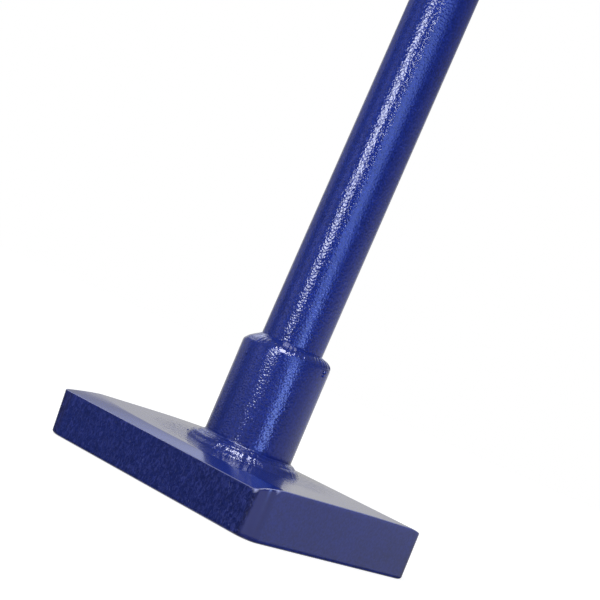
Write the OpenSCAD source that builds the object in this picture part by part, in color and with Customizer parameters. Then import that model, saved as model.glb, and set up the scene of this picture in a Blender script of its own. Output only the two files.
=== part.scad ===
// Hand tamper: a thick square steel plate, a socket collar welded on it and a long tube handle welded in that.
// The handle's top has a ribbed rubber grip and a push-in plug. Nothing on the tool moves.
// Millimetres, +Z up. The origin is the middle of the plate's sole, and the shaft stands along +Z.
// The plate's two cut sides face -X and +X, and its two mill sides, the flat bar's own edges, face -Y and +Y.

/* [Overall] */
// Height from the sole to the top of the end plug
overall_h = 1250; // [900:10:1500]

/* [Base plate] */
// Side of the square plate
plate_side = 127; // [110:1:200]
// Thickness of the plate
plate_t = 24.5; // [12:0.5:40]
// Radius of the plate's four upright corners
plate_corner_r = 5; // [2:0.5:12]
// Radius of the edges round the sole
sole_edge_r = 1.5; // [0.5:0.25:4]
// Radius of the top edges along the two mill sides
mill_edge_r = 0.8; // [0.2:0.1:3]
// Width of the top's roll-over along the cut side at -X
near_roll_w = 26; // [8:1:32]
// Drop of that roll-over at the cut side
near_roll_d = 4.7; // [1:0.1:7]
// Width of the top's roll-over along the cut side at +X
far_roll_w = 14; // [6:1:30]
// Drop of that roll-over at the cut side
far_roll_d = 2; // [0.5:0.1:5]

/* [Socket collar] */
// Outside diameter of the collar
socket_od = 42.4; // [38:0.2:60]
// Height of the collar above the plate
socket_h = 51; // [25:1:90]
// Radius of the collar's outer top edge
socket_edge_r = 1.2; // [0.3:0.1:2]
// Gap between the shaft and the collar's bore, per side
socket_gap = 0.2; // [0.1:0.05:0.4]
// Place of the collar off the plate's middle, along X
socket_x = -1.6; // [-4:0.2:4]
// Place of the collar off the plate's middle, along Y
socket_y = 2.4; // [-4:0.2:4]

/* [Welds] */
// Leg of the foot weld, out along the plate and up the collar
foot_leg = 5.6; // [3:0.2:9]
// Height of the top weld up the shaft
top_weld_h = 3.5; // [1.5:0.1:6]

/* [Shaft tube] */
// Outside diameter of the tube
shaft_od = 30; // [24:0.5:34]
// Wall of the tube
shaft_wall = 1.5; // [1:0.1:4]

/* [Hand grip] */
// Length of the rubber sleeve
grip_len = 140; // [80:5:300]
// Wall of the sleeve between its ribs
grip_wall = 2.6; // [1.8:0.1:6]
// Film of glue between the sleeve and the tube
grip_film = 0.1; // [0.05:0.05:0.3]
// How far the ribs stand out of the sleeve
rib_h = 1.3; // [0.5:0.1:3]
// Distance from one rib to the next
rib_pitch = 7; // [4:0.5:12]
// Length of the plain band at each end of the sleeve
band_len = 14; // [8:1:30]
// How far the bands stand out of the sleeve
band_h = 2.4; // [1:0.1:6]

/* [End plug] */
// Thickness of the plug's head at its rim
plug_rim_t = 2; // [1:0.1:5]
// Rise of the head's dome above its rim
plug_dome_h = 1.8; // [0.5:0.1:5]
// Length of the plug's sleeve inside the tube
plug_len = 22; // [10:1:60]
// Wall of the plug's sleeve
plug_wall = 2; // [1:0.1:4]
// Gap between the plug's sleeve and the tube, per side
plug_gap = 0.1; // [0.05:0.05:0.3]
// How far the grip's top stands above the tube's end
grip_lip = 2; // [0.5:0.5:4]

/* [Hidden] */
$fn = 96;

enamel = [0.13, 0.16, 0.47];
weld_enamel = [0.17, 0.19, 0.52];
black_rubber = [0.08, 0.08, 0.09];
black_plastic = [0.14, 0.14, 0.15];

// Spare length that cutting shapes run past the faces they cut
over = 1;

plate_half = plate_side / 2;
socket_r = socket_od / 2;
shaft_r = shaft_od / 2;
shaft_in_r = shaft_r - shaft_wall;
bore_r = shaft_r + socket_gap;
socket_top = plate_t + socket_h;
shaft_top = overall_h - plug_rim_t - plug_dome_h;

// The foot weld is two runs, the second laid over the first. Their sizes are shares of the weld's leg.
lower_run_r = 0.46 * foot_leg;
lower_run_at = [0.54 * foot_leg, 0.15 * foot_leg];
upper_run_r = 0.42 * foot_leg;
upper_run_at = [0.16 * foot_leg, 0.57 * foot_leg];

// The top weld's face is an arc from the shaft down to the flat of the collar's end.
top_weld_w = socket_r - socket_edge_r - shaft_r;
top_weld_chord = norm([top_weld_w, top_weld_h]);
top_weld_r = 0.62 * top_weld_chord;
top_weld_sink = sqrt(top_weld_r * top_weld_r - top_weld_chord * top_weld_chord / 4);
top_weld_at = [
  top_weld_w / 2 - top_weld_sink * top_weld_h / top_weld_chord,
  top_weld_h / 2 - top_weld_sink * top_weld_w / top_weld_chord
];

grip_in_r = shaft_r + grip_film;
grip_out_r = shaft_r + grip_wall;
grip_top = shaft_top + grip_lip;
grip_bottom = grip_top - grip_len;
// Ribs fill the stretch between the two bands, with half a pitch free at each end.
ribbed_len = grip_len - 2 * band_len - rib_pitch;
rib_count = floor(ribbed_len / rib_pitch) + 1;
first_rib_z = grip_bottom + grip_len / 2 - (rib_count - 1) * rib_pitch / 2;

plug_out_r = shaft_in_r - plug_gap;
plug_in_r = plug_out_r - plug_wall;
dome_r = arc_radius(shaft_r, plug_dome_h);

// Radius of the arc that starts level and drops by depth over a width
function arc_radius(width, depth) = (width * width + depth * depth) / (2 * depth);

// What rounding takes off a corner at the origin whose sides run along +X and +Y
module corner_waste(r) {
  difference() {
    translate([-over, -over]) square(r + over);
    translate([r, r]) circle(r);
  }
}

// What the roll-over takes off the plate's section on its -X side
module roll_waste(width, depth) {
  arc_r = arc_radius(width, depth);
  difference() {
    translate([-plate_half - over, plate_t - depth - over]) square([width + over, depth + 2 * over]);
    translate([-plate_half + width, plate_t - arc_r]) circle(arc_r);
  }
}

// Section of a bar that stands on the ground, centred on Y, with round edges below and above
module bar_section(width) {
  difference() {
    translate([-width / 2, 0]) square([width, plate_t]);
    for (side = [0, 1]) mirror([side, 0]) {
      translate([-width / 2, 0]) corner_waste(sole_edge_r);
      translate([-width / 2, plate_t]) mirror([0, 1]) corner_waste(mill_edge_r);
    }
  }
}

// The square plate with round upright corners and round edges, before its top rolls over
module plate_block() {
  flat = plate_side - 2 * plate_corner_r;
  rotate([90, 0, 0]) linear_extrude(flat, center = true) bar_section(plate_side);
  rotate([90, 0, 90]) linear_extrude(flat, center = true) bar_section(plate_side);
  for (sx = [-1, 1], sy = [-1, 1])
    translate([sx * flat / 2, sy * flat / 2, 0]) rotate_extrude() intersection() {
      bar_section(2 * plate_corner_r);
      square([plate_corner_r, plate_t]);
    }
}

// Stands a part on the socket's axis
module on_socket_axis() {
  translate([socket_x, socket_y, 0]) children();
}

// A turned ring whose section is drawn from the radius r and the height z
module ring_at(r, z) {
  rotate_extrude() translate([r, z]) children();
}

module base_plate() {
  color(enamel) difference() {
    plate_block();
    rotate([90, 0, 0]) linear_extrude(plate_side + over, center = true) {
      roll_waste(near_roll_w, near_roll_d);
      mirror([1, 0]) roll_waste(far_roll_w, far_roll_d);
    }
  }
}

module socket_collar() {
  color(enamel) on_socket_axis() ring_at(0, plate_t) difference() {
    translate([bore_r, 0]) square([socket_r - bore_r, socket_h]);
    translate([socket_r, socket_h]) rotate(180) corner_waste(socket_edge_r);
  }
}

// Section of the first run, with the root that it fills in the corner of plate and collar
module lower_run_section() {
  intersection() {
    square(2 * foot_leg);
    union() {
      translate(lower_run_at) circle(lower_run_r);
      polygon([[0, 0], [lower_run_at[0], 0], [0, upper_run_at[1]]]);
    }
  }
}

// Section of the second run, which lies on the first and up the collar
module upper_run_section() {
  difference() {
    intersection() {
      square(2 * foot_leg);
      translate(upper_run_at) circle(upper_run_r);
    }
    lower_run_section();
  }
}

module foot_weld_lower() {
  color(weld_enamel) on_socket_axis() ring_at(socket_r, plate_t) lower_run_section();
}

module foot_weld_upper() {
  color(weld_enamel) on_socket_axis() ring_at(socket_r, plate_t) upper_run_section();
}

module socket_top_weld() {
  color(weld_enamel) on_socket_axis() ring_at(shaft_r, socket_top) intersection() {
    square(2 * top_weld_chord);
    translate(top_weld_at) circle(top_weld_r);
  }
}

module shaft_tube() {
  color(enamel) on_socket_axis() ring_at(shaft_in_r, plate_t) square([shaft_wall, shaft_top - plate_t]);
}

// One end band of the sleeve, with round edges, from the height z up
module band_section(z) {
  translate([grip_out_r - over, z + band_h]) square([band_h + over, band_len - 2 * band_h]);
  for (end_z = [z + band_h, z + band_len - band_h])
    translate([grip_out_r, end_z]) circle(band_h);
}

module hand_grip() {
  color(black_rubber) on_socket_axis() ring_at(0, 0) difference() {
    union() {
      translate([grip_in_r, grip_bottom]) square([grip_out_r - grip_in_r, grip_len]);
      band_section(grip_bottom);
      band_section(grip_top - band_len);
      for (i = [0 : rib_count - 1])
        translate([grip_out_r, first_rib_z + i * rib_pitch]) circle(rib_h);
    }
    translate([0, grip_bottom - over]) square([grip_in_r, grip_len + 2 * over]);
  }
}

module end_plug() {
  color(black_plastic) on_socket_axis() ring_at(0, shaft_top) {
    square([shaft_r, plug_rim_t]);
    translate([plug_in_r, -plug_len]) square([plug_wall, plug_len]);
    intersection() {
      translate([0, plug_rim_t]) square([shaft_r, plug_dome_h]);
      translate([0, plug_rim_t + plug_dome_h - dome_r]) circle(dome_r);
    }
  }
}

base_plate();
socket_collar();
foot_weld_lower();
foot_weld_upper();
socket_top_weld();
shaft_tube();
hand_grip();
end_plug();
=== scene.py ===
import bpy
import numpy as np
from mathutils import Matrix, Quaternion, Vector


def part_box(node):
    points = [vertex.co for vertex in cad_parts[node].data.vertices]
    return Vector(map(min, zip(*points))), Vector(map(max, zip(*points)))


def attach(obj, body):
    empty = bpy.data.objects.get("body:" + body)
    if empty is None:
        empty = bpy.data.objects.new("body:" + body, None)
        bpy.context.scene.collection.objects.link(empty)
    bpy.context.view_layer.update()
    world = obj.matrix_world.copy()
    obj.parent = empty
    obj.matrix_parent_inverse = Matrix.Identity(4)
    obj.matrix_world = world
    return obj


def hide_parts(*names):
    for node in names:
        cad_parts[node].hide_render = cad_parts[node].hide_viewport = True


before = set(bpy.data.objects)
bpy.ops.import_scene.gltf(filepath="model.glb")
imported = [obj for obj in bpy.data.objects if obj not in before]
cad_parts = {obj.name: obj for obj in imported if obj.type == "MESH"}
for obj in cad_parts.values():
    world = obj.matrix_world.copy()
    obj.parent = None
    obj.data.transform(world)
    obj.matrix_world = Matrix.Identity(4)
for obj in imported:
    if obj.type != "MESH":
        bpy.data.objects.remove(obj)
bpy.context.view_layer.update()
bpy.context.scene.view_settings.view_transform = "Standard"


# Base plate
# A square cut from thick flat bar steel. Its -Y and +Y sides are the bar's own rolled edges. The other two
# were sheared, which drew the top down along them and tore the steel in upright streaks under the enamel.
plate_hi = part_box("base_plate")[1]
plate_half = plate_hi.x
plate_top = plate_hi.z
sole_edge_r = 0.0016
top_edge_r = 0.0004
# Corner radii go round from +X -Y through +X +Y and -X +Y to -X -Y.
corner_r_sole = np.array([0.0050, 0.0050, 0.0075, 0.0070])
corner_r_top = np.array([0.0062, 0.0050, 0.0028, 0.0060])
# The shear bent the top down towards -X in a long slope, deepest halfway along, and rolled the last
# stretch over. The roll-over is a flat bevel, which widens and rounds off at the +Y end and runs out at
# the -Y corner. Pairs are for the -Y and +Y ends.
near_drop = (0.00475, 0.00440)
bent_drop = (0.00118, 0.00190)
bent_middle = 0.0010
bent_len = 0.076
bent_end = 0.02
near_roll_w = (0.0115, 0.0240)
roll_power = 1.05
wide_end_power = 0.30
widening_power = 6
run_out_len = 0.0065
run_out_left = 0.2
run_out_power = 1.3
far_drop = 0.0020
far_roll_w = 0.014
mill_drop = 0.00012
mill_roll_w = 0.0012
# Rings of points on the sole, round each edge, up the sides and on the top, where they crowd to the edge
sole_rows, edge_rows, side_rows, top_rows = 7, 7, 24, 69
top_edge_start = sole_rows + edge_rows + side_rows
row_crowding = 1.6
# Points of a ring round a corner, and steps along a side
corner_steps, side_steps = 14, 100
near_corner_start = 3 * (corner_steps + side_steps - 1)
# The tear marks and the painted shade begin this close to a cut side, and both weaken towards the +Y end.
cut_margin = 0.0003
cut_fade = 0.0002
tears_and_shade_fade = 0.24
# Painted highlights: a lighter violet on the upright corners, and a pale lavender line along the top edge,
# faint all round and full round the near corner's curve, with a pale spot where that curve starts and ends.
corner_highlight_w = 0.0078
corner_highlight_fade_cut, corner_highlight_fade_mill = 0.50 * corner_highlight_w, 0.20 * corner_highlight_w
edge_highlight_rows = slice(top_edge_start + 2, top_edge_start + 5)
edge_highlight_share = 0.40
near_corner = slice(near_corner_start, near_corner_start + corner_steps)
highlight_spot_r = 0.00054
highlight_spot_fade = 0.0009
# The weld heated the plate round the collar's foot, and the paint is uneven there.
socket_lo, socket_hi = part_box("socket_collar")
socket_x, socket_y = (socket_lo.x + socket_hi.x) / 2, (socket_lo.y + socket_hi.y) / 2
heated_r = 0.034
heated_w = 0.016
heated_cell_depth = 6.0
# The enamel's two blues, its torn colour, and its painted highlights' colours on the corners and top edge
deep_blue = (0.0068, 0.0178, 0.142, 1)
bright_blue = (0.0205, 0.0455, 0.333, 1)
corner_highlight_violet = (0.020, 0.027, 0.145, 1)
torn_violet = (0.034, 0.045, 0.212, 1)
edge_highlight_pale = (0.50, 0.52, 0.80, 1)


def ring_mesh(name, rings, poles):
    """Closed smooth mesh of a grid whose rows are rings of points. Each ring closes on itself and is joined
    to the next by quads. With poles, the first and last ring are each drawn together into one point;
    without, the last ring is joined to the first. The faces are turned round if the signed volume is
    negative."""
    rows, count = rings.shape[:2]
    if poles:
        points = np.concatenate([rings[1:-1].reshape(-1, 3), rings[:1].mean(1), rings[-1:].mean(1)])
        index = np.arange((rows - 2) * count).reshape(rows - 2, count)
        lower, upper = index[:-1], index[1:]
    else:
        points = rings.reshape(-1, 3)
        index = np.arange(rows * count).reshape(rows, count)
        lower, upper = index, np.roll(index, -1, axis=0)
    quads = np.stack([lower, np.roll(lower, -1, 1), np.roll(upper, -1, 1), upper], -1).reshape(-1, 4)
    fans = np.empty((0, 3), int)
    if poles:
        first, last = np.full(count, len(points) - 2), np.full(count, len(points) - 1)
        fan_low = np.stack([np.roll(index[0], -1), index[0], first], -1)
        fan_high = np.stack([index[-1], np.roll(index[-1], -1), last], -1)
        fans = np.concatenate([fan_low, fan_high])
    triangles = np.concatenate([quads[:, [0, 1, 2]], quads[:, [0, 2, 3]], fans])
    a, b, c = points[triangles].transpose(1, 0, 2)
    if (np.cross(a, b) * c).sum() < 0:
        quads, fans = quads[:, ::-1], fans[:, ::-1]
    mesh = bpy.data.meshes.new(name)
    mesh.from_pydata(points.tolist(), [], quads.tolist() + fans.tolist())
    mesh.polygons.foreach_set("use_smooth", np.ones(len(mesh.polygons), bool))
    piece = bpy.data.objects.new(name, mesh)
    bpy.context.collection.objects.link(piece)
    return piece


def rounded_squares(half, corner_r):
    """Rings of rounded squares, one for each half side and row of four corner radii. A corner is a quarter
    circle about a point one radius in from both its sides, and each side is the straight line from the end
    of one quarter circle to the start of the next, anticlockwise from above."""
    corner_sign = np.array([[1, -1], [1, 1], [-1, 1], [-1, -1]])
    turn = np.radians([[-90], [0], [90], [180]]) + np.linspace(0, np.pi / 2, corner_steps)
    circle = np.stack([np.cos(turn), np.sin(turn)], -1)
    centre = corner_sign * (half[:, None] - corner_r)[..., None]
    corners = centre[:, :, None] + corner_r[..., None, None] * circle
    along = np.linspace(0, 1, side_steps + 1)[1:-1, None]
    sides = corners[:, :, -1:] * (1 - along) + np.roll(corners[:, :, :1], -1, axis=1) * along
    return np.concatenate([corners, sides], axis=2).reshape(len(half), -1, 2)


def plate_drop(x, y):
    """How far the top lies below its highest level. Along the near side that is a straight slope with a
    soft end, plus a roll-over that is a power of the way out to the side and is shallower in its last
    stretch. Along the far side it is a parabola, and so it is, much smaller, along the bar's own edges."""
    share = np.clip((y + plate_half) / (2 * plate_half), 0, 1)
    from_near, from_far, from_mill = x + plate_half, plate_half - x, plate_half - np.abs(y)
    bent = bent_drop[0] * (1 - share) + bent_drop[1] * share + bent_middle * 4 * share * (1 - share)
    rolled = near_drop[0] * (1 - share) + near_drop[1] * share - bent
    widening = share ** widening_power
    roll_w = near_roll_w[0] + (near_roll_w[1] - near_roll_w[0]) * widening
    power = roll_power + wide_end_power * widening
    from_end = np.clip((y + plate_half) / run_out_len, 0, 1)
    run_out = run_out_left + (1 - run_out_left) * from_end ** run_out_power
    left = 1 - from_near / bent_len
    slope = bent * (left + np.sqrt(left ** 2 + bent_end)) / 2
    near = rolled * run_out * np.clip(1 - from_near / roll_w, 0, 1) ** power
    far = far_drop * np.clip(1 - from_far / far_roll_w, 0, 1) ** 2
    mill = mill_drop * np.clip(1 - from_mill / mill_roll_w, 0, 1) ** 2
    return slope + near + far + mill


def plate_rings():
    """Rings from the middle of the sole out to its round edge, up the sides, over the top edge and in to
    the middle of the top. Every height shrinks by the share of the thickness that the shear took there."""
    bend = np.linspace(0, np.pi / 2, edge_rows)
    across = np.linspace(0, 1, top_rows + 1)[1:] ** row_crowding
    inset = np.concatenate([
        np.linspace(plate_half, sole_edge_r, sole_rows + 1)[:-1],
        sole_edge_r * (1 - np.sin(bend)),
        np.zeros(side_rows),
        top_edge_r * (1 - np.cos(bend)),
        top_edge_r + (plate_half - top_edge_r) * across,
    ])
    height = np.concatenate([
        np.zeros(sole_rows),
        sole_edge_r * (1 - np.cos(bend)),
        np.linspace(sole_edge_r, plate_top - top_edge_r, side_rows + 2)[1:-1],
        plate_top - top_edge_r * (1 - np.sin(bend)),
        np.full(top_rows, plate_top),
    ])
    level = (height / plate_top)[:, None]
    corner_r = (corner_r_sole * (1 - level) + corner_r_top * level) * (1 - inset / plate_half)[:, None]
    outline = rounded_squares(plate_half - inset, corner_r)
    x, y = outline[..., 0], outline[..., 1]
    return np.stack([x, y, height[:, None] * (1 - plate_drop(x, y) / plate_top)], -1)


def link_chain(tree, *steps):
    """Joins sockets two by two: each step is an output and the input that it feeds."""
    for output, target in steps:
        tree.links.new(output, target)


def set_inputs(node, values):
    """Sets a shader node's inputs, each given by its label or its number."""
    for socket, value in values.items():
        node.inputs[socket].default_value = value


def new_node(tree, kind, inputs=None, **settings):
    """A shader node of that kind with its settings, such as an operation, and its inputs already set."""
    node = tree.nodes.new("ShaderNode" + kind)
    for setting, value in settings.items():
        setattr(node, setting, value)
    set_inputs(node, inputs or {})
    return node


def finish_group(name, inputs):
    """An empty shader node group for a finish. It has its own inputs, each with a kind and a value, and
    puts out a colour, a roughness and a height. The nodes for its inputs and its outputs come with it."""
    group = bpy.data.node_groups.new(name, "ShaderNodeTree")
    for label, kind, value in inputs:
        socket = group.interface.new_socket(label, in_out="INPUT", socket_type="NodeSocket" + kind)
        socket.default_value = value
    for label, kind in (("Colour", "Color"), ("Roughness", "Float"), ("Height", "Float")):
        group.interface.new_socket(label, in_out="OUTPUT", socket_type="NodeSocket" + kind)
    return group, group.nodes.new("NodeGroupInput"), group.nodes.new("NodeGroupOutput")


def finish_material(name, group, group_inputs, bump_m):
    """A material whose colour, roughness and bumps come from a finish group with its own values."""
    material = bpy.data.materials.new(name)
    material.use_nodes = True
    tree = material.node_tree
    shader = tree.nodes["Principled BSDF"]
    finish = new_node(tree, "Group", group_inputs, node_tree=group)
    bump = new_node(tree, "Bump", {"Distance": bump_m})
    link_chain(
        tree,
        (finish.outputs["Colour"], shader.inputs["Base Color"]),
        (finish.outputs["Roughness"], shader.inputs["Roughness"]),
        (finish.outputs["Height"], bump.inputs["Height"]),
        (bump.outputs["Normal"], shader.inputs["Normal"]),
    )
    return material


def hammered_group():
    """Hammer finish: every cell of a Voronoi pattern is a round dimple, its height the square of the
    distance from the cell's middle, and a slow noise makes the paint's orange peel. The colour wanders
    between a deep and a bright blue with the metal flake and with the paint's slow clouds."""
    group, given, made = finish_group("hammered_enamel", (
        ("Cells per Metre", "Float", 900),
        ("Cell Depth", "Float", 1),
        ("Peel Depth", "Float", 0.5),
        ("Flake", "Float", 0.5),
    ))
    place = new_node(group, "TexCoord")
    cells = new_node(group, "TexVoronoi", {"Smoothness": 0.35}, feature="SMOOTH_F1")
    dimple = new_node(group, "Math", operation="MULTIPLY")
    cell_height = new_node(group, "Math", operation="MULTIPLY")
    peel = new_node(group, "TexNoise", {"Scale": 260, "Detail": 1})
    height = new_node(group, "Math", operation="MULTIPLY_ADD")
    flake = new_node(group, "TexNoise", {"Scale": 1000, "Detail": 2})
    cloud = new_node(group, "TexNoise", {"Scale": 60})
    flake_share = new_node(group, "MapRange", {"From Min": 0.35, "From Max": 0.65})
    paint = new_node(group, "Mix", {"A": deep_blue, "B": bright_blue}, data_type="RGBA")
    gloss = new_node(group, "MapRange", {"To Min": 0.26, "To Max": 0.40})
    blend = new_node(group, "Math", {1: 0.4}, operation="MULTIPLY_ADD")
    link_chain(
        group,
        (place.outputs["Object"], cells.inputs["Vector"]),
        (place.outputs["Object"], peel.inputs["Vector"]),
        (place.outputs["Object"], flake.inputs["Vector"]),
        (place.outputs["Object"], cloud.inputs["Vector"]),
        (given.outputs["Cells per Metre"], cells.inputs["Scale"]),
        (cells.outputs["Distance"], dimple.inputs[0]),
        (cells.outputs["Distance"], dimple.inputs[1]),
        (dimple.outputs[0], cell_height.inputs[0]),
        (given.outputs["Cell Depth"], cell_height.inputs[1]),
        (peel.outputs["Fac"], height.inputs[0]),
        (given.outputs["Peel Depth"], height.inputs[1]),
        (cell_height.outputs[0], height.inputs[2]),
        (flake.outputs["Fac"], flake_share.inputs["Value"]),
        (given.outputs["Flake"], flake_share.inputs["To Max"]),
        (cloud.outputs["Fac"], blend.inputs[0]),
        (flake_share.outputs["Result"], blend.inputs[2]),
        (blend.outputs[0], paint.inputs["Factor"]),
        (cloud.outputs["Fac"], gloss.inputs["Value"]),
        (paint.outputs["Result"], made.inputs["Colour"]),
        (gloss.outputs["Result"], made.inputs["Roughness"]),
        (height.outputs[0], made.inputs["Height"]),
    )
    return group


def enamel_material(
    name, cells_per_metre, cell_depth, peel_depth, flake, bump_m, skin_roughness, metal=0.25,
):
    """Blue hammer enamel: a metal-flake base under a clear glossy skin, both on the group's bumps."""
    material = finish_material(name, hammered_enamel, {
        "Cells per Metre": cells_per_metre,
        "Cell Depth": cell_depth,
        "Peel Depth": peel_depth,
        "Flake": flake,
    }, bump_m)
    tree = material.node_tree
    shader = tree.nodes["Principled BSDF"]
    set_inputs(shader, {
        "Metallic": metal,
        "Specular IOR Level": 0.0,
        "Coat Weight": 1.0,
        "Coat IOR": 1.9,
        "Coat Roughness": skin_roughness,
    })
    tree.links.new(tree.nodes["Bump"].outputs["Normal"], shader.inputs["Coat Normal"])
    return material


def add_shear_streaks_and_shade(material):
    """Adds the cut sides' tear marks and painted shade to the enamel, weighted by one of the mesh's own
    attributes: noise drawn out upright raises the bumps, and the paint there is darkened as painted shade,
    with the tear streaks in a thinner violet through it. The clear skin is weaker there."""
    tree = material.node_tree
    place = new_node(tree, "TexCoord")
    stretch = new_node(tree, "Mapping", {"Scale": (780, 780, 400)})
    streaks = new_node(tree, "TexNoise", {"Scale": 1, "Detail": 5, "Distortion": 1.2})
    cut = new_node(tree, "Attribute", attribute_name="cut_side_tears_and_shade")
    weighted = new_node(tree, "Math", operation="MULTIPLY")
    total = new_node(tree, "Math", {1: 7.0}, operation="MULTIPLY_ADD")
    thin = new_node(tree, "MapRange", {"From Min": 0.45, "From Max": 0.72})
    # Painted shade: the cut sides' paint darkened to 0.43 of its colour
    shaded_paint = new_node(tree, "VectorMath", {"Scale": 0.43}, operation="SCALE")
    torn_and_shaded_paint = new_node(tree, "Mix", {"B": torn_violet}, data_type="RGBA")
    paint = new_node(tree, "Mix", data_type="RGBA")
    skin = new_node(tree, "MapRange", {"To Min": 1.0, "To Max": 0.45})
    shader = tree.nodes["Principled BSDF"]
    bump = tree.nodes["Bump"]
    height = bump.inputs["Height"].links[0].from_socket
    colour = shader.inputs["Base Color"].links[0].from_socket
    link_chain(
        tree,
        (place.outputs["Object"], stretch.inputs["Vector"]),
        (stretch.outputs["Vector"], streaks.inputs["Vector"]),
        (streaks.outputs["Fac"], weighted.inputs[0]),
        (cut.outputs["Fac"], weighted.inputs[1]),
        (weighted.outputs[0], total.inputs[0]),
        (height, total.inputs[2]),
        (total.outputs[0], bump.inputs["Height"]),
        (streaks.outputs["Fac"], thin.inputs["Value"]),
        (colour, shaded_paint.inputs[0]),
        (thin.outputs["Result"], torn_and_shaded_paint.inputs["Factor"]),
        (shaded_paint.outputs["Vector"], torn_and_shaded_paint.inputs["A"]),
        (cut.outputs["Fac"], paint.inputs["Factor"]),
        (colour, paint.inputs["A"]),
        (torn_and_shaded_paint.outputs["Result"], paint.inputs["B"]),
        (paint.outputs["Result"], shader.inputs["Base Color"]),
        (cut.outputs["Fac"], skin.inputs["Value"]),
        (skin.outputs["Result"], shader.inputs["Coat Weight"]),
    )


# Used to paint the plate's highlights on its upright corners and along its top edge.
def add_painted_highlight(material, attribute_name, highlight_colour):
    """Takes the enamel to another colour by one of the mesh's own attributes, none at 0 and all at 1."""
    tree = material.node_tree
    shader = tree.nodes["Principled BSDF"]
    colour = shader.inputs["Base Color"].links[0].from_socket
    highlight_attribute = new_node(tree, "Attribute", attribute_name=attribute_name)
    paint = new_node(tree, "Mix", {"B": highlight_colour}, data_type="RGBA")
    link_chain(
        tree,
        (highlight_attribute.outputs["Fac"], paint.inputs["Factor"]),
        (colour, paint.inputs["A"]),
        (paint.outputs["Result"], shader.inputs["Base Color"]),
    )


def add_uneven_paint(material, attribute_name, cell_depth):
    """Deepens the dimples by one of the mesh's own attributes: their own depth at 0, another at 1."""
    tree = material.node_tree
    finish = tree.nodes["Group"]
    uneven = new_node(tree, "Attribute", attribute_name=attribute_name)
    own_depth = finish.inputs["Cell Depth"].default_value
    depth = new_node(tree, "MapRange", {"To Min": own_depth, "To Max": cell_depth})
    link_chain(
        tree,
        (uneven.outputs["Fac"], depth.inputs["Value"]),
        (depth.outputs["Result"], finish.inputs["Cell Depth"]),
    )


def set_mask(piece, name, values):
    """Gives a piece's mesh a named attribute with a value from 0 to 1 for each of its points."""
    mask = piece.data.attributes.new(name, "FLOAT", "POINT")
    mask.data.foreach_set("value", values)


hammered_enamel = hammered_group()
plate_enamel = enamel_material(
    "plate_enamel", cells_per_metre=500, cell_depth=0.15, peel_depth=0.45, flake=0.35, bump_m=0.00005,
    skin_roughness=0.13, metal=0.05,
)
# Painted highlight: a lighter violet on the upright corners
add_painted_highlight(plate_enamel, "painted_corner_highlight", corner_highlight_violet)
# Painted shade and tear marks on the cut sides
add_shear_streaks_and_shade(plate_enamel)
# Painted highlight along the top edge and round the near corner
add_painted_highlight(plate_enamel, "painted_edge_highlight", edge_highlight_pale)
add_uneven_paint(plate_enamel, "heated", heated_cell_depth)
plate_points = plate_rings()
base_plate = ring_mesh("base_plate_sheared", plate_points, poles=True)
plate_co = np.empty(len(base_plate.data.vertices) * 3)
base_plate.data.vertices.foreach_get("co", plate_co)
plate_x, plate_y, plate_z = plate_co.reshape(-1, 3).T
from_cut, from_mill = plate_half - np.abs(plate_x), plate_half - np.abs(plate_y)
# The cut sides' tear marks and painted shade, both weaker towards +Y
on_cut_side = np.clip((cut_margin - from_cut) / cut_fade, 0, 1)
towards_far_end = (plate_y + plate_half) / (2 * plate_half)
set_mask(base_plate, "cut_side_tears_and_shade", on_cut_side * (1 - tears_and_shade_fade * towards_far_end))
# Painted highlight on the upright corners: points near both a cut side and a bar's own edge
near_cut_side = np.clip((corner_highlight_w - from_cut) / corner_highlight_fade_cut, 0, 1)
near_mill_side = np.clip((corner_highlight_w - from_mill) / corner_highlight_fade_mill, 0, 1)
set_mask(base_plate, "painted_corner_highlight", near_cut_side * near_mill_side)
# Painted highlight along the top edge: faint all round, full round the near corner's curve, with pale spots
# where that curve starts and ends.
edge_highlight = np.zeros(plate_points.shape[:2])
edge_highlight[edge_highlight_rows] = edge_highlight_share
edge_highlight[edge_highlight_rows, near_corner] = 1
for corner_end in (near_corner.start, near_corner.stop - 1):
    from_highlight_spot = np.linalg.norm(plate_points - plate_points[edge_highlight_rows.start + 1, corner_end], axis=-1)
    edge_highlight = np.maximum(edge_highlight, np.clip(1 - (from_highlight_spot - highlight_spot_r) / highlight_spot_fade, 0, 1))
set_mask(base_plate, "painted_edge_highlight", np.append(edge_highlight[1:-1].ravel(), [0, 0]))
from_socket = np.hypot(plate_x - socket_x, plate_y - socket_y)
on_top = plate_z > plate_top / 2
set_mask(base_plate, "heated", on_top * np.clip(1 - (from_socket - heated_r) / heated_w, 0, 1))
base_plate.data.materials.append(plate_enamel)
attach(base_plate, "root")
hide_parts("base_plate")


# Socket collar
# A short length of heavy steel tube that stands on the plate and holds the handle. It is sawn square, its
# outer top edge melted round by the weld, more so on one side than on the other.
socket_paint = 0.00015
socket_r = (socket_hi.x - socket_lo.x) / 2 + socket_paint
socket_foot, socket_top = socket_lo.z, socket_hi.z
shaft_lo, shaft_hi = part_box("shaft_tube")
shaft_r = (shaft_hi.x - shaft_lo.x) / 2
bore_gap = 0.0002
bore_r = shaft_r + bore_gap
melted_bearing = np.radians(128)
melted_edge_r = 0.0028
plain_edge_r = 0.0011
# The collar was welded a little out of line: how far its foot and top stand off to the melted side
lean_foot, lean_top = -0.00016, 0.00050
# Points round the collar, and its rings up the bore, across the end, round the edge and down the outside
collar_count = 160
bore_rows, end_rows, collar_edge_rows, outside_rows = 6, 2, 10, 8


def turned(radius, height, angle):
    """Rings of a piece turned about the socket's axis: each point lies at its radius and height, at its
    angle round the axis, so a radius or height that changes with the angle makes the piece uneven."""
    radius, height, angle = np.broadcast_arrays(radius, height, angle)
    return np.stack([socket_x + radius * np.cos(angle), socket_y + radius * np.sin(angle), height], -1)


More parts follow.
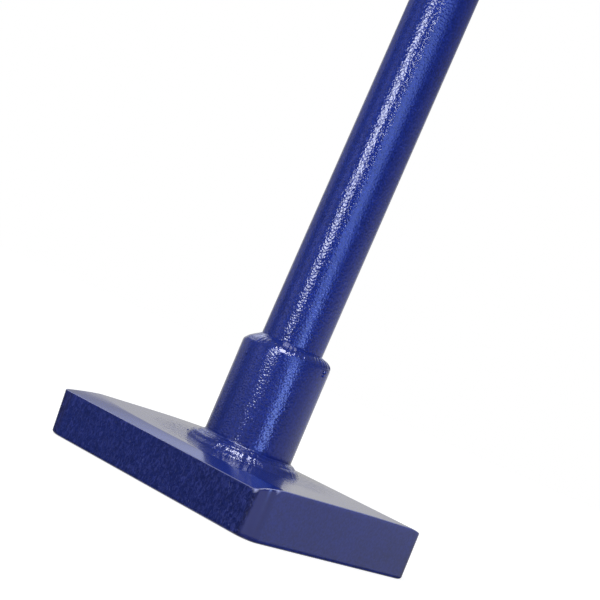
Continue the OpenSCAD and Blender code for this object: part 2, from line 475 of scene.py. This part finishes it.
def round_about(count):
    """Angles of a full turn in equal steps, without the repeat at its end."""
    return np.linspace(0, 2 * np.pi, count, endpoint=False)[None]


def melted_share(angle):
    """From 0 on the collar's plain side to 1 on its melted side: half of one plus the cosine."""
    return 0.5 + 0.5 * np.cos(angle - melted_bearing)


def collar_rings():
    """Up the bore, out over the end, round the outer edge by a quarter circle and down the outside. The
    outside stands off the axis by a length that changes evenly with the height, and the bore doesn't."""
    angle = round_about(collar_count)
    edge_r = plain_edge_r + (melted_edge_r - plain_edge_r) * melted_share(angle)
    bend = np.linspace(0, np.pi / 2, collar_edge_rows)[:, None]
    up = np.linspace(0, 1, bore_rows)[:, None]
    out = np.linspace(0, 1, end_rows + 2)[1:-1, None]
    down = np.linspace(0, 1, outside_rows + 1)[1:, None]
    radius = np.concatenate([
        np.broadcast_to(bore_r, (bore_rows, collar_count)),
        bore_r + (socket_r - edge_r - bore_r) * out,
        socket_r - edge_r * (1 - np.sin(bend)),
        np.broadcast_to(socket_r, (outside_rows, collar_count)),
    ])
    height = np.concatenate([
        np.broadcast_to(socket_foot + (socket_top - socket_foot) * up, (bore_rows, collar_count)),
        np.broadcast_to(socket_top, (end_rows, collar_count)),
        socket_top - edge_r * (1 - np.cos(bend)),
        (socket_top - edge_r) * (1 - down) + socket_foot * down,
    ])
    climb = (height - socket_foot) / (socket_top - socket_foot)
    outer = (radius - bore_r) / (socket_r - bore_r)
    stand_off = outer * (lean_foot * (1 - climb) + lean_top * climb)
    rings = turned(radius, height, angle)
    rings[..., 0] += stand_off * np.cos(melted_bearing)
    rings[..., 1] += stand_off * np.sin(melted_bearing)
    return rings


collar_enamel = enamel_material(
    "collar_enamel", cells_per_metre=1200, cell_depth=1.0, peel_depth=0.6, flake=0.6, bump_m=0.00008,
    skin_roughness=0.09,
)
socket_collar = ring_mesh("socket_collar_sawn", collar_rings(), poles=False)
socket_collar.data.materials.append(collar_enamel)
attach(socket_collar, "root")
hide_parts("socket_collar")


# Foot weld
# Two runs of arc weld round the collar's foot, the second laid on the first and up the collar. Each is a
# bead of fused steel with the ripples and lumps of a hand-held torch, and sinks into what it joins.
# Toes of the two runs, out from the collar and up from the plate
lower_low, lower_high = (0.0066, -0.0001), (0.0029, 0.0027)
upper_low, upper_high = (0.0033, 0.0024), (0.0010, 0.0040)
weld_root = 0.0005
weld_count, face_rows, fillet_rows = 1080, 32, 7
# The groove along a run and the heap of the first run each lie on one side of the collar.
groove_bearing = np.radians(172)
heap_bearing = np.radians(120)
one_side_power = 5
groove_all_round = 0.1
groove_wander = 0.12
lump_depth, fine_lump_depth = 0.00014, 0.00006
ripple_turns, ripple_slant, ripple_wander = 92, 4, 1.6
ripple_depth = 0.00003
ripple_middle, ripple_swing = 0.6, 0.6
high_toe_share = 0.4
bead_seed = np.random.default_rng(11)


def waver(angle, lowest, highest, count):
    """Smooth unevenness round a weld, about -1 to 1: a sum of sines that each go round a whole number of
    times, with seeded turns and phases."""
    turns = bead_seed.integers(lowest, highest, count)
    phase = bead_seed.uniform(0, 2 * np.pi, count)
    waves = np.sin(turns * angle[..., None] + phase)
    return waves.sum(-1) / np.sqrt(count)


def one_sided(angle, bearing):
    """From 0 opposite a bearing to 1 on it: half of one plus the cosine, raised to a power."""
    return (0.5 + 0.5 * np.cos(angle - bearing)) ** one_side_power


def run_rings(low, high, bulge, heap, scoop, ridge_depth, toe_waver, fillet_r, on_plate):
    """A weld run between two toes, each given as out from the collar and up from the plate. Its face is the
    straight line from the low toe to the high one, pushed out by half a sine wave, more on the heaped side,
    and scooped by a whole one. Soft lumps, a groove along the run and fine ripples across it are added. A
    quarter circle leads on up the collar. A run on the plate follows the drop of the plate's top. The
    section closes one root depth behind the face."""
    angle = round_about(weld_count)
    along = np.linspace(0, 1, face_rows)[:, None]
    low_out = low[0] + toe_waver * waver(angle, 3, 14, 6)
    toe_x, toe_y, _ = turned(socket_r + low_out, 0, angle).transpose(2, 0, 1)
    low_up = low[1] - on_plate * plate_drop(toe_x, toe_y)
    high_up = high[1] + high_toe_share * toe_waver * waver(angle, 4, 14, 5)
    crest = np.sin(np.pi * along)
    grooved = one_sided(angle, groove_bearing)
    ridge = np.cos(2 * np.pi * (along + groove_wander * waver(angle, 2, 7, 4)))
    ripple = np.cos(ripple_turns * angle + ripple_slant * along + ripple_wander * waver(angle, 9, 30, 6))
    ripple_share = (1 - grooved) * np.clip(ripple_middle + ripple_swing * waver(angle, 6, 20, 5), 0, 1)
    lumps = lump_depth * waver(angle, 5, 16, 6) + fine_lump_depth * waver(angle, 24, 60, 8)
    heaped = bulge + heap * one_sided(angle, heap_bearing)
    grooves = ridge_depth * (groove_all_round + grooved) * ridge
    proud = crest * (heaped + lumps + grooves + ripple_depth * ripple_share * ripple)
    proud -= scoop * np.sin(2 * np.pi * along)
    run_out, run_up = high[0] - low_out, high_up - low_up
    length = np.hypot(run_out, run_up)
    out = low_out + run_out * along + proud * run_up / length
    up = low_up + run_up * along - proud * run_out / length
    bend = np.linspace(0, np.pi / 2, fillet_rows + 1)[1:, None]
    fillet_out = np.broadcast_to(high[0] - fillet_r * np.sin(bend), (fillet_rows, weld_count))
    fillet_up = high_up + fillet_r * (1 - np.cos(bend))
    back_out = [fillet_out[-1:] - weld_root, fillet_out[-1:] - weld_root, low_out - weld_root]
    back_up = [fillet_up[-1:] - weld_root, low_up - weld_root, low_up - weld_root]
    radius = socket_r + np.concatenate([out, fillet_out, *back_out])
    height = plate_top + np.concatenate([up, fillet_up, *back_up])
    return turned(radius, height, angle)


weld_enamel = enamel_material(
    "weld_enamel", cells_per_metre=1450, cell_depth=1.0, peel_depth=1.0, flake=0.5, bump_m=0.00013,
    skin_roughness=0.07,
)
lower_rings = run_rings(
    lower_low, lower_high, bulge=0.00030, heap=0.0009, scoop=0.00015, ridge_depth=0.00028,
    toe_waver=0.0002, fillet_r=0.0002, on_plate=True,
)
foot_weld_lower = ring_mesh("foot_weld_lower_bead", lower_rings, poles=False)
foot_weld_lower.data.materials.append(weld_enamel)
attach(foot_weld_lower, "root")
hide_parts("foot_weld_lower")
upper_rings = run_rings(
    upper_low, upper_high, bulge=0.00015, heap=0, scoop=0, ridge_depth=0.0001, toe_waver=0.0003,
    fillet_r=0.0011, on_plate=False,
)
foot_weld_upper = ring_mesh("foot_weld_upper_bead", upper_rings, poles=False)
foot_weld_upper.data.materials.append(weld_enamel)
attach(foot_weld_upper, "root")
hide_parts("foot_weld_upper")


# Shaft tube
# The handle, a plain length of drawn steel tube that stands on the plate inside the collar. Its ends are
# deburred, and the same hammer enamel as the head's runs all the way up it.
shaft_wall = 0.0015
shaft_foot, shaft_top = shaft_lo.z, shaft_hi.z
deburr = 0.0003
shaft_rows, shaft_count = 60, 144


def tube_rings():
    """Up the outside in equal steps, over the end, down the inside, with a small flat cut on each edge."""
    inner_r = shaft_r - shaft_wall
    climb = np.linspace(shaft_foot + deburr, shaft_top - deburr, shaft_rows)
    radius = np.concatenate([
        [shaft_r - deburr], np.full(shaft_rows, shaft_r), [shaft_r - deburr],
        [inner_r + deburr], np.full(shaft_rows, inner_r), [inner_r + deburr],
    ])
    height = np.concatenate([
        [shaft_foot], climb, [shaft_top],
        [shaft_top], climb[::-1], [shaft_foot],
    ])
    return turned(radius[:, None], height[:, None], round_about(shaft_count))


tube_enamel = enamel_material(
    "tube_enamel", cells_per_metre=1050, cell_depth=1.0, peel_depth=0.5, flake=0.6, bump_m=0.00010,
    skin_roughness=0.085,
)
shaft_tube = ring_mesh("shaft_tube_drawn", tube_rings(), poles=False)
shaft_tube.data.materials.append(tube_enamel)
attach(shaft_tube, "root")
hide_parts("shaft_tube")


# Socket top weld
# A fillet of weld on the collar's end, run up against the handle. On the melted side it has flowed over the
# collar's edge in a slope, and on the other side it stands proud.
top_weld_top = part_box("socket_top_weld")[1].z
top_weld_count, top_weld_rows = 720, 32
# The section's four control points: its toe on the collar, its shoulder over the collar's edge, its neck
# beside the handle and its toe on the handle. Each has its place on the plain side and, after it, how much
# lower or further in it lies on the melted side.
toe_sink = 0.00012
toe_drop, toe_melt = 0.0004, 0.0036
shoulder_rise, shoulder_melt = 0.0007, 0.0005
neck_out, neck_melt_in = 0.0036, 0.0004
neck_drop, neck_melt = 0.0004, 0.0020
handle_toe_sink = 0.0002
handle_toe_waver = 0.0003
top_root_in, top_root_down = 0.0008, 0.001
top_lump_depth, top_fine_lump_depth = 0.00015, 0.00011
lumps_melted = 0.95
lumps_out, lumps_up = 0.6, 0.8


def top_weld_rings():
    """A cubic Bezier curve from the toe on the collar's outside to the toe on the handle. Its four control
    points blend from the plain side's, where the weld stands proud, to the melted side's, where it has
    flowed down in a slope. Lumps push it out between the toes, less so on the melted side."""
    angle = round_about(top_weld_count)
    along = np.linspace(0, 1, top_weld_rows)[:, None]
    melted = melted_share(angle)
    toe_up = top_weld_top + handle_toe_waver * waver(angle, 4, 17, 5)
    leaned_r = socket_r + lean_top * np.cos(angle - melted_bearing)
    control_r = (
        leaned_r - toe_sink,
        leaned_r + toe_sink,
        shaft_r + neck_out - neck_melt_in * melted,
        np.full_like(angle, shaft_r - handle_toe_sink),
    )
    control_z = (
        socket_top - toe_drop - toe_melt * melted,
        socket_top + shoulder_rise - shoulder_melt * melted,
        top_weld_top - neck_drop - neck_melt * melted,
        toe_up,
    )
    back = 1 - along
    share = (back ** 3, 3 * along * back ** 2, 3 * along ** 2 * back, along ** 3)
    radius = sum(weight * control for weight, control in zip(share, control_r))
    height = sum(weight * control for weight, control in zip(share, control_z))
    lumps = top_lump_depth * waver(angle, 6, 20, 6) + top_fine_lump_depth * waver(angle, 24, 60, 8)
    proud = np.sin(np.pi * along) * lumps * (1 - lumps_melted * melted ** 2)
    root_r = np.full_like(angle, shaft_r - top_root_in)
    radius = np.concatenate([radius + lumps_out * proud, root_r, root_r])
    height = np.concatenate([height + lumps_up * proud, toe_up, control_z[0] - top_root_down])
    return turned(radius, height, angle)


top_weld_enamel = enamel_material(
    "top_weld_enamel", cells_per_metre=1200, cell_depth=0.9, peel_depth=0.8, flake=0.6, bump_m=0.00009,
    skin_roughness=0.09,
)
socket_top_weld = ring_mesh("socket_top_weld_bead", top_weld_rings(), poles=False)
socket_top_weld.data.materials.append(top_weld_enamel)
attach(socket_top_weld, "root")
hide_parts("socket_top_weld")


# Weld spatter
# Droplets of molten steel that froze on the plate and on the handle beside the welds, and a drip under the
# collar's edge. All lie under the same enamel.
# Each is a bearing round the socket in degrees, a distance from its axis, a height and a radius.
spatter = (
    (104.0, 0.0312, 0.0237, 0.0005),
    (246.0, 0.0156, 0.0777, 0.0006),
    (278.5, 0.0211, 0.0718, 0.0006),
    (279.0, 0.0210, 0.0735, 0.0009),
)
droplet_count, droplet_rows = 24, 14


def droplet_rings(bearing_deg, from_axis, height, radius):
    """A ball about a point beside the socket: the rings' radii are the sine of the angle from its lowest
    point, and their heights the cosine."""
    middle = turned(from_axis, height, np.radians(bearing_deg))
    turn = round_about(droplet_count)
    climb = np.linspace(0, np.pi, droplet_rows)[:, None]
    ball_x, ball_y = np.sin(climb) * np.cos(turn), np.sin(climb) * np.sin(turn)
    ball = np.stack(np.broadcast_arrays(ball_x, ball_y, -np.cos(climb)), -1)
    return middle + radius * ball


for number, droplet in enumerate(spatter, 1):
    weld_droplet = ring_mesh(f"weld_spatter_{number}", droplet_rings(*droplet), poles=True)
    weld_droplet.data.materials.append(weld_enamel)
    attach(weld_droplet, "root")


# Hand grip
# A ribbed sleeve of black rubber, moulded in one piece and glued on the handle's top. Plain bands at both
# ends stop the hand.
grip_lo, grip_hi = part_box("hand_grip")
grip_foot, grip_top = grip_lo.z, grip_hi.z
grip_film = 0.0001
grip_wall = 0.0026
grip_in_r = shaft_r + grip_film
grip_out_r = shaft_r + grip_wall
grip_band_len = 0.014
grip_band_h = (grip_hi.x - grip_lo.x) / 2 - grip_out_r
rib_pitch = 0.007
rib_h = 0.0013
rib_steepness, rib_gap, rib_flatness = 1.5, 0.4, 0.6
grip_rows, grip_count = 480, 128
rubber_black = (0.020, 0.020, 0.022, 1)


def grip_rings():
    """The sleeve's outside is its wall plus the higher of two forms: ribs, each a flattened cosine hump,
    and end bands whose edges are quarter circles. The inside is a plain bore."""
    height = np.linspace(grip_foot, grip_top, grip_rows)
    from_end = np.minimum(height - grip_foot, grip_top - height)
    middle = (grip_foot + grip_top) / 2
    wave = 0.5 + 0.5 * np.cos(2 * np.pi * (height - middle) / rib_pitch)
    ribbed = from_end > grip_band_len + rib_pitch / 2
    rib = rib_h * ribbed * np.clip(wave * rib_steepness - rib_gap, 0, 1) ** rib_flatness
    band_half = grip_band_len / 2
    reach = np.clip(np.abs(from_end - band_half) - (band_half - grip_band_h), 0, grip_band_h)
    band = np.where(from_end < grip_band_len, np.sqrt(grip_band_h ** 2 - reach ** 2), 0)
    outside = grip_out_r + np.maximum(rib, band)
    radius = np.concatenate([outside, [grip_in_r, grip_in_r]])
    height = np.concatenate([height, [grip_top, grip_foot]])
    return turned(radius[:, None], height[:, None], round_about(grip_count))


def moulded_group():
    """Moulded grain: fine noise for the mould's texture and slow noise for dull and handled patches."""
    group, given, made = finish_group("moulded_grain", (
        ("Colour", "Color", (0.03, 0.03, 0.03, 1)),
        ("Dullness", "Float", 0.5),
    ))
    place = new_node(group, "TexCoord")
    grain = new_node(group, "TexNoise", {"Scale": 2200, "Detail": 2})
    patches = new_node(group, "TexNoise", {"Scale": 70, "Detail": 4})
    shade = new_node(group, "MapRange", {"To Min": 0.75, "To Max": 1.35})
    tint = new_node(group, "VectorMath", operation="SCALE")
    dull = new_node(group, "MapRange", {"To Min": -0.12, "To Max": 0.12})
    total = new_node(group, "Math", operation="ADD", use_clamp=True)
    link_chain(
        group,
        (place.outputs["Object"], grain.inputs["Vector"]),
        (place.outputs["Object"], patches.inputs["Vector"]),
        (patches.outputs["Fac"], shade.inputs["Value"]),
        (patches.outputs["Fac"], dull.inputs["Value"]),
        (given.outputs["Colour"], tint.inputs[0]),
        (shade.outputs["Result"], tint.inputs["Scale"]),
        (given.outputs["Dullness"], total.inputs[0]),
        (dull.outputs["Result"], total.inputs[1]),
        (tint.outputs["Vector"], made.inputs["Colour"]),
        (total.outputs[0], made.inputs["Roughness"]),
        (grain.outputs["Fac"], made.inputs["Height"]),
    )
    return group


moulded_grain = moulded_group()
grip_rubber = finish_material(
    "grip_rubber", moulded_grain, {"Colour": rubber_black, "Dullness": 0.62}, bump_m=0.00010,
)
hand_grip = ring_mesh("hand_grip_sleeve", grip_rings(), poles=False)
hand_grip.data.materials.append(grip_rubber)
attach(hand_grip, "root")
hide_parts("hand_grip")


# End plug
# A push-in cap of black plastic that closes the handle: a domed head that sits on the tube's end and a
# thin sleeve that grips the tube's inside.
plug_lo, plug_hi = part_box("end_plug")
plug_foot, plug_top = plug_lo.z, plug_hi.z
plug_head_r = (plug_hi.x - plug_lo.x) / 2
plug_rim_t = 0.0020
plug_edge_r = 0.0006
plug_gap = 0.0001
plug_sleeve_r = shaft_r - shaft_wall - plug_gap
plug_sleeve_wall = 0.0020
plug_rim_cut = 0.0003
sleeve_lead_in, sleeve_lead_up = 0.0006, 0.0010
sleeve_inner_cut, sleeve_inner_up = 0.0003, 0.0005
head_hollow = 0.0002
plug_count, dome_rows, rim_rows = 96, 24, 5
plastic_black = (0.040, 0.040, 0.044, 1)


def plug_rings():
    """From the top of the dome, a circle's arc, down to a rounded rim, in under the head, down the sleeve's
    outside, up its inside and in to the middle of the head's underside."""
    dome_rise = plug_top - shaft_top - plug_rim_t
    dome_r = (plug_head_r ** 2 + dome_rise ** 2) / (2 * dome_rise)
    dome_out = (plug_head_r - plug_edge_r) * np.linspace(0, 1, dome_rows)
    dome_z = plug_top - dome_r + np.sqrt(dome_r ** 2 - dome_out ** 2)
    bend = np.linspace(0, np.pi / 2, rim_rows + 1)[1:]
    rim_z = dome_z[-1] - plug_edge_r
    sleeve_in_r = plug_sleeve_r - plug_sleeve_wall
    inner_z = shaft_top + head_hollow
    radius = np.concatenate([
        dome_out,
        plug_head_r - plug_edge_r * (1 - np.sin(bend)),
        [plug_head_r, plug_head_r - plug_rim_cut],
        [plug_sleeve_r, plug_sleeve_r, plug_sleeve_r - sleeve_lead_in],
        [sleeve_in_r + sleeve_inner_cut, sleeve_in_r, sleeve_in_r, 0],
    ])
    height = np.concatenate([
        dome_z,
        rim_z + plug_edge_r * np.cos(bend),
        [shaft_top + plug_rim_cut, shaft_top],
        [shaft_top, plug_foot + sleeve_lead_up, plug_foot],
        [plug_foot, plug_foot + sleeve_inner_up, inner_z, inner_z],
    ])
    return turned(radius[:, None], height[:, None], round_about(plug_count))


plug_plastic = finish_material(
    "plug_plastic", moulded_grain, {"Colour": plastic_black, "Dullness": 0.42}, bump_m=0.00003,
)
end_plug = ring_mesh("end_plug_cap", plug_rings(), poles=True)
end_plug.data.materials.append(plug_plastic)
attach(end_plug, "root")
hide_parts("end_plug")


# Camera
# It stands low, a little over the plate's top, close to the near corner, and is held turned, so the handle
# leans to the right. The lens is a short telephoto.
camera_at = Vector((-0.49809, -0.37702, 0.06743))
camera_looks = Vector((0.788580, 0.612760, 0.051646))
camera_turn = np.radians(23.782)
camera_lens_mm = 81.504
camera_data = bpy.data.cameras.new("photo_camera")
camera_data.lens = camera_lens_mm
camera = bpy.data.objects.new("photo_camera", camera_data)
bpy.context.collection.objects.link(camera)
camera.location = camera_at
camera.rotation_mode = "QUATERNION"
camera.rotation_quaternion = camera_looks.to_track_quat("-Z", "Y") @ Quaternion((0, 0, 1), camera_turn)
bpy.context.scene.camera = camera


# Studio floor
# A wide sheet of white paper under the tool. It looks white to the camera and still takes a soft shadow.
# Mirrored rays pass it by and see the table's tones in its place.
floor_reach = 30.0
floor_drop = 0.0002
paper_colour = (0.8, 0.8, 0.8, 1)
seen_paper_colour = (0.35, 0.35, 0.35, 1)
# The camera sees the paper glow as well, a little less near the tool than from the second distance on.
glow_near_m, glow_far_m = 0.25, 0.9
glow_near, glow_far = 0.86, 1.0
floor_mesh = bpy.data.meshes.new("studio_floor")
floor_corner = np.array([[-1, -1, 0], [1, -1, 0], [1, 1, 0], [-1, 1, 0]]) * floor_reach - [0, 0, floor_drop]
floor_mesh.from_pydata(floor_corner.tolist(), [], [(0, 1, 2, 3)])
floor = bpy.data.objects.new("studio_floor", floor_mesh)
bpy.context.collection.objects.link(floor)
floor.visible_glossy = False
floor_paper = bpy.data.materials.new("floor_paper")
floor_paper.use_nodes = True
floor_tree = floor_paper.node_tree
floor_tree.nodes.remove(floor_tree.nodes["Principled BSDF"])
paper = new_node(floor_tree, "BsdfDiffuse", {"Color": paper_colour})
seen_paper = new_node(floor_tree, "BsdfDiffuse", {"Color": seen_paper_colour})
seen_glow = new_node(floor_tree, "Emission")
floor_place = new_node(floor_tree, "TexCoord")
floor_away = new_node(floor_tree, "VectorMath", operation="LENGTH")
far_glow = new_node(floor_tree, "MapRange", {
    "From Min": glow_near_m,
    "From Max": glow_far_m,
    "To Min": glow_near,
    "To Max": glow_far,
})
seen_sum = new_node(floor_tree, "AddShader")
seen_or_lit = new_node(floor_tree, "MixShader")
floor_ray = new_node(floor_tree, "LightPath")
link_chain(
    floor_tree,
    (floor_place.outputs["Object"], floor_away.inputs[0]),
    (floor_away.outputs["Value"], far_glow.inputs["Value"]),
    (far_glow.outputs["Result"], seen_glow.inputs["Strength"]),
    (seen_paper.outputs[0], seen_sum.inputs[0]),
    (seen_glow.outputs[0], seen_sum.inputs[1]),
    (floor_ray.outputs["Is Camera Ray"], seen_or_lit.inputs["Fac"]),
    (paper.outputs[0], seen_or_lit.inputs[1]),
    (seen_sum.outputs[0], seen_or_lit.inputs[2]),
    (seen_or_lit.outputs[0], floor_tree.nodes["Material Output"].inputs["Surface"]),
)
floor_mesh.materials.append(floor_paper)


# Studio walls
# The room that the enamel mirrors: a white backdrop behind the tool, and dim walls, table and ceiling.
# Bearings are degrees round from the camera, to the right of it where positive, each with its brightness.
wall_tones = (
    (-180, 0.10), (-163, 0.12), (-152, 0.14), (-121, 0.36), (-103, 0.10), (-84, 0.12),
    (-70, 0.44), (-56, 0.11), (-20, 0.04), (0, 0.03), (50, 0.03), (68, 0.20),
    (86, 0.30), (104, 0.41), (121, 0.48), (152, 0.40), (163, 0.30), (180, 0.10),
)
high_tones = (
    (-180, 0.50), (-152, 0.14), (-121, 0.31), (-103, 0.06), (-84, 0.08), (-70, 0.26),
    (-56, 0.07), (-20, 0.05), (0, 0.05), (50, 0.02), (68, 0.03), (86, 0.09),
    (104, 0.15), (121, 0.20), (152, 0.22), (180, 0.50),
)
table_tones = (
    (-180, 0.05), (-92, 0.05), (-84, 0.19), (-73, 0.0), (-66, 0.0), (-59, 0.38),
    (60, 0.38), (104, 0.34), (118, 0.37), (150, 0.31), (180, 0.05),
)
under_table_tone = 0.06
ceiling_tones = (
    (-180, 1.0), (-158, 1.0), (-146, 0.22), (-85, 0.22), (-65, 0.12), (130, 0.10),
    (150, 0.25), (162, 1.0), (180, 1.0),
)
overhead_tone = 0.15
# How much of the backdrop is mirrored over the walls at each bearing
backdrop_shares = (
    (-180, 0.55), (-163, 0.50), (-152, 0.31), (-142, 0.0), (146, 0.0), (152, 0.16),
    (163, 0.42), (180, 0.56),
)
room_tint = (0.98, 0.99, 1.03, 1)
side_tint = (0.99, 1.02, 1.38)
ceiling_tint = (0.94, 1.0, 1.26)
mirrored_white = (1.0, 0.985, 0.92, 1)
camera_white = (1, 1, 1, 1)
towards_camera = Vector((camera_at.x, camera_at.y, 0)).normalized()
camera_right = Vector((-towards_camera.y, towards_camera.x, 0))
world = bpy.data.worlds.new("studio_walls")
bpy.context.scene.world = world
world.use_nodes = True
world_tree = world.node_tree
background = world_tree.nodes["Background"]


def tone_ramp(bearing, tones, tint=(1, 1, 1), behind_tint=(1, 1, 1)):
    """Brightness by bearing: a colour ramp from one full half turn to the other, in a tint all round and in
    another straight behind the tool."""
    ramp = new_node(world_tree, "ValToRGB")
    stops = ramp.color_ramp.elements
    for bearing_deg, tone in tones[1:-1]:
        stops.new((bearing_deg + 180) / 360).color = (*np.multiply(tone, tint), 1)
    stops[0].color = (*np.multiply(tones[0][1], behind_tint), 1)
    stops[-1].color = (*np.multiply(tones[-1][1], behind_tint), 1)
    world_tree.links.new(bearing, ramp.inputs["Fac"])
    return ramp.outputs["Color"]


def blend_by_height(height, low_deg, high_deg, below, above):
    """A smooth change from one tone to another between two elevations, given in degrees."""
    low_z, high_z = np.sin(np.radians([low_deg, high_deg]))
    rise = new_node(
        world_tree, "MapRange", {"From Min": low_z, "From Max": high_z}, interpolation_type="SMOOTHSTEP",
    )
    mix = new_node(world_tree, "Mix", data_type="RGBA")
    link_chain(world_tree, (height, rise.inputs["Value"]), (rise.outputs["Result"], mix.inputs["Factor"]))
    for tone, socket in ((below, mix.inputs["A"]), (above, mix.inputs["B"])):
        if isinstance(tone, float):
            socket.default_value = (tone, tone, tone, 1)
        else:
            world_tree.links.new(tone, socket)
    return mix.outputs["Result"]


ray = new_node(world_tree, "TexCoord").outputs["Generated"]
to_right = new_node(world_tree, "VectorMath", {1: camera_right}, operation="DOT_PRODUCT")
to_front = new_node(world_tree, "VectorMath", {1: towards_camera}, operation="DOT_PRODUCT")
bearing = new_node(world_tree, "Math", operation="ARCTAN2")
bearing_share = new_node(world_tree, "MapRange", {"From Min": -np.pi, "From Max": np.pi})
ray_parts = new_node(world_tree, "SeparateXYZ")
link_chain(
    world_tree,
    (ray, to_right.inputs[0]),
    (ray, to_front.inputs[0]),
    (ray, ray_parts.inputs[0]),
    (to_right.outputs["Value"], bearing.inputs[0]),
    (to_front.outputs["Value"], bearing.inputs[1]),
    (bearing.outputs[0], bearing_share.inputs["Value"]),
)
share = bearing_share.outputs["Result"]
ray_z = ray_parts.outputs["Z"]
below = blend_by_height(ray_z, -13.0, -9.0, under_table_tone, tone_ramp(share, table_tones))
walls = blend_by_height(ray_z, -4.3, -3.5, below, tone_ramp(share, wall_tones, side_tint))
high_walls = blend_by_height(ray_z, -1.0, 14.0, walls, tone_ramp(share, high_tones, side_tint))
ceiling = tone_ramp(share, ceiling_tones, ceiling_tint, ceiling_tint)
low_ceiling = blend_by_height(ray_z, 16.0, 27.0, high_walls, ceiling)
room = blend_by_height(ray_z, 31.0, 36.0, low_ceiling, overhead_tone)
backdrop_share = blend_by_height(ray_z, 14.0, 17.0, tone_ramp(share, backdrop_shares), 0.0)
tinted_room = new_node(
    world_tree, "Mix", {"Factor": 1, "B": room_tint}, data_type="RGBA", blend_type="MULTIPLY",
)
seen_white = new_node(world_tree, "Mix", data_type="RGBA")
paper_white = new_node(world_tree, "Mix", {"A": mirrored_white, "B": camera_white}, data_type="RGBA")
world_ray = new_node(world_tree, "LightPath")
mirrored_ray = new_node(world_tree, "Math", operation="MAXIMUM")
mirrored_backdrop = new_node(world_tree, "Math", operation="MULTIPLY")
backdrop = new_node(world_tree, "Math", operation="MAXIMUM")
link_chain(
    world_tree,
    (world_ray.outputs["Is Glossy Ray"], mirrored_ray.inputs[0]),
    (world_ray.outputs["Is Transmission Ray"], mirrored_ray.inputs[1]),
    (mirrored_ray.outputs[0], mirrored_backdrop.inputs[0]),
    (backdrop_share, mirrored_backdrop.inputs[1]),
    (world_ray.outputs["Is Camera Ray"], backdrop.inputs[0]),
    (mirrored_backdrop.outputs[0], backdrop.inputs[1]),
    (room, tinted_room.inputs["A"]),
    (tinted_room.outputs["Result"], seen_white.inputs["A"]),
    (world_ray.outputs["Is Camera Ray"], paper_white.inputs["Factor"]),
    (paper_white.outputs["Result"], seen_white.inputs["B"]),
    (backdrop.outputs[0], seen_white.inputs["Factor"]),
    (seen_white.outputs["Result"], background.inputs["Color"]),
)


# Studio lamps
# Soft lamps round the tool. A strip on the left gives the handle its glittering line, nested blue boxes on
# the right its soft band, and low ones the collar's. A thin strip in front gives the second, broken line, a
# box above it the glints on the welds, and a box behind on the left lights the far edges.
lamp_aim = Vector((socket_x, socket_y, 0.15))


def studio_lamp(name, bearing_deg, elevation_deg, distance, width, height, brightness, tint):
    """A flat lamp that faces the tool from a bearing round from the camera, an elevation and a distance.
    Its power is its brightness times pi times its area."""
    bearing_rad, elevation_rad = np.radians(bearing_deg), np.radians(elevation_deg)
    level = towards_camera * np.cos(bearing_rad) + camera_right * np.sin(bearing_rad)
    outward = level * np.cos(elevation_rad) + Vector((0, 0, np.sin(elevation_rad)))
    data = bpy.data.lights.new(name, "AREA")
    data.shape = "RECTANGLE"
    data.size, data.size_y = width, height
    data.energy = brightness * np.pi * width * height
    data.color = tint
    lamp = bpy.data.objects.new(name, data)
    bpy.context.collection.objects.link(lamp)
    lamp.location = lamp_aim + outward * distance
    lamp.rotation_mode = "QUATERNION"
    lamp.rotation_quaternion = (-outward).to_track_quat("-Z", "Y")
    lamp.visible_camera = False


# Bearing and elevation in degrees, distance, width and height in metres, brightness and tint
studio_lamp("left_strip", -30.5, 12.0, 1.50, 0.60, 0.54, 2.4, (0.88, 0.94, 1.0))
studio_lamp("left_core", -30.5, 12.0, 1.49, 0.20, 0.54, 5.2, (0.94, 0.97, 1.0))
studio_lamp("right_box", 26.0, 11.0, 0.50, 0.44, 0.31, 0.42, (0.28, 0.42, 0.94))
studio_lamp("right_box_second", 23.0, 11.0, 0.49, 0.34, 0.31, 0.42, (0.28, 0.42, 0.94))
studio_lamp("right_box_third", 20.5, 11.0, 0.48, 0.25, 0.31, 0.45, (0.30, 0.44, 0.94))
studio_lamp("right_core", 19.0, 11.0, 0.47, 0.15, 0.31, 0.45, (0.32, 0.46, 0.94))
studio_lamp("low_box", 29.5, -13.0, 0.50, 0.175, 0.11, 1.15, (0.27, 0.41, 1.0))
studio_lamp("low_box_second", 29.5, -13.0, 0.49, 0.135, 0.11, 1.3, (0.29, 0.43, 1.0))
studio_lamp("low_core", 29.5, -13.0, 0.48, 0.09, 0.11, 1.4, (0.31, 0.45, 1.0))
studio_lamp("front_strip", -1.0, 19.0, 1.6, 0.05, 0.40, 11.0, (0.88, 0.94, 1.0))
studio_lamp("front_top_box", -20.0, 52.0, 1.6, 0.72, 0.90, 7.9, (1, 1, 1))
studio_lamp("left_top_box", -143.0, 36.0, 1.6, 1.20, 0.60, 0.75, (0.95, 0.97, 1.0))
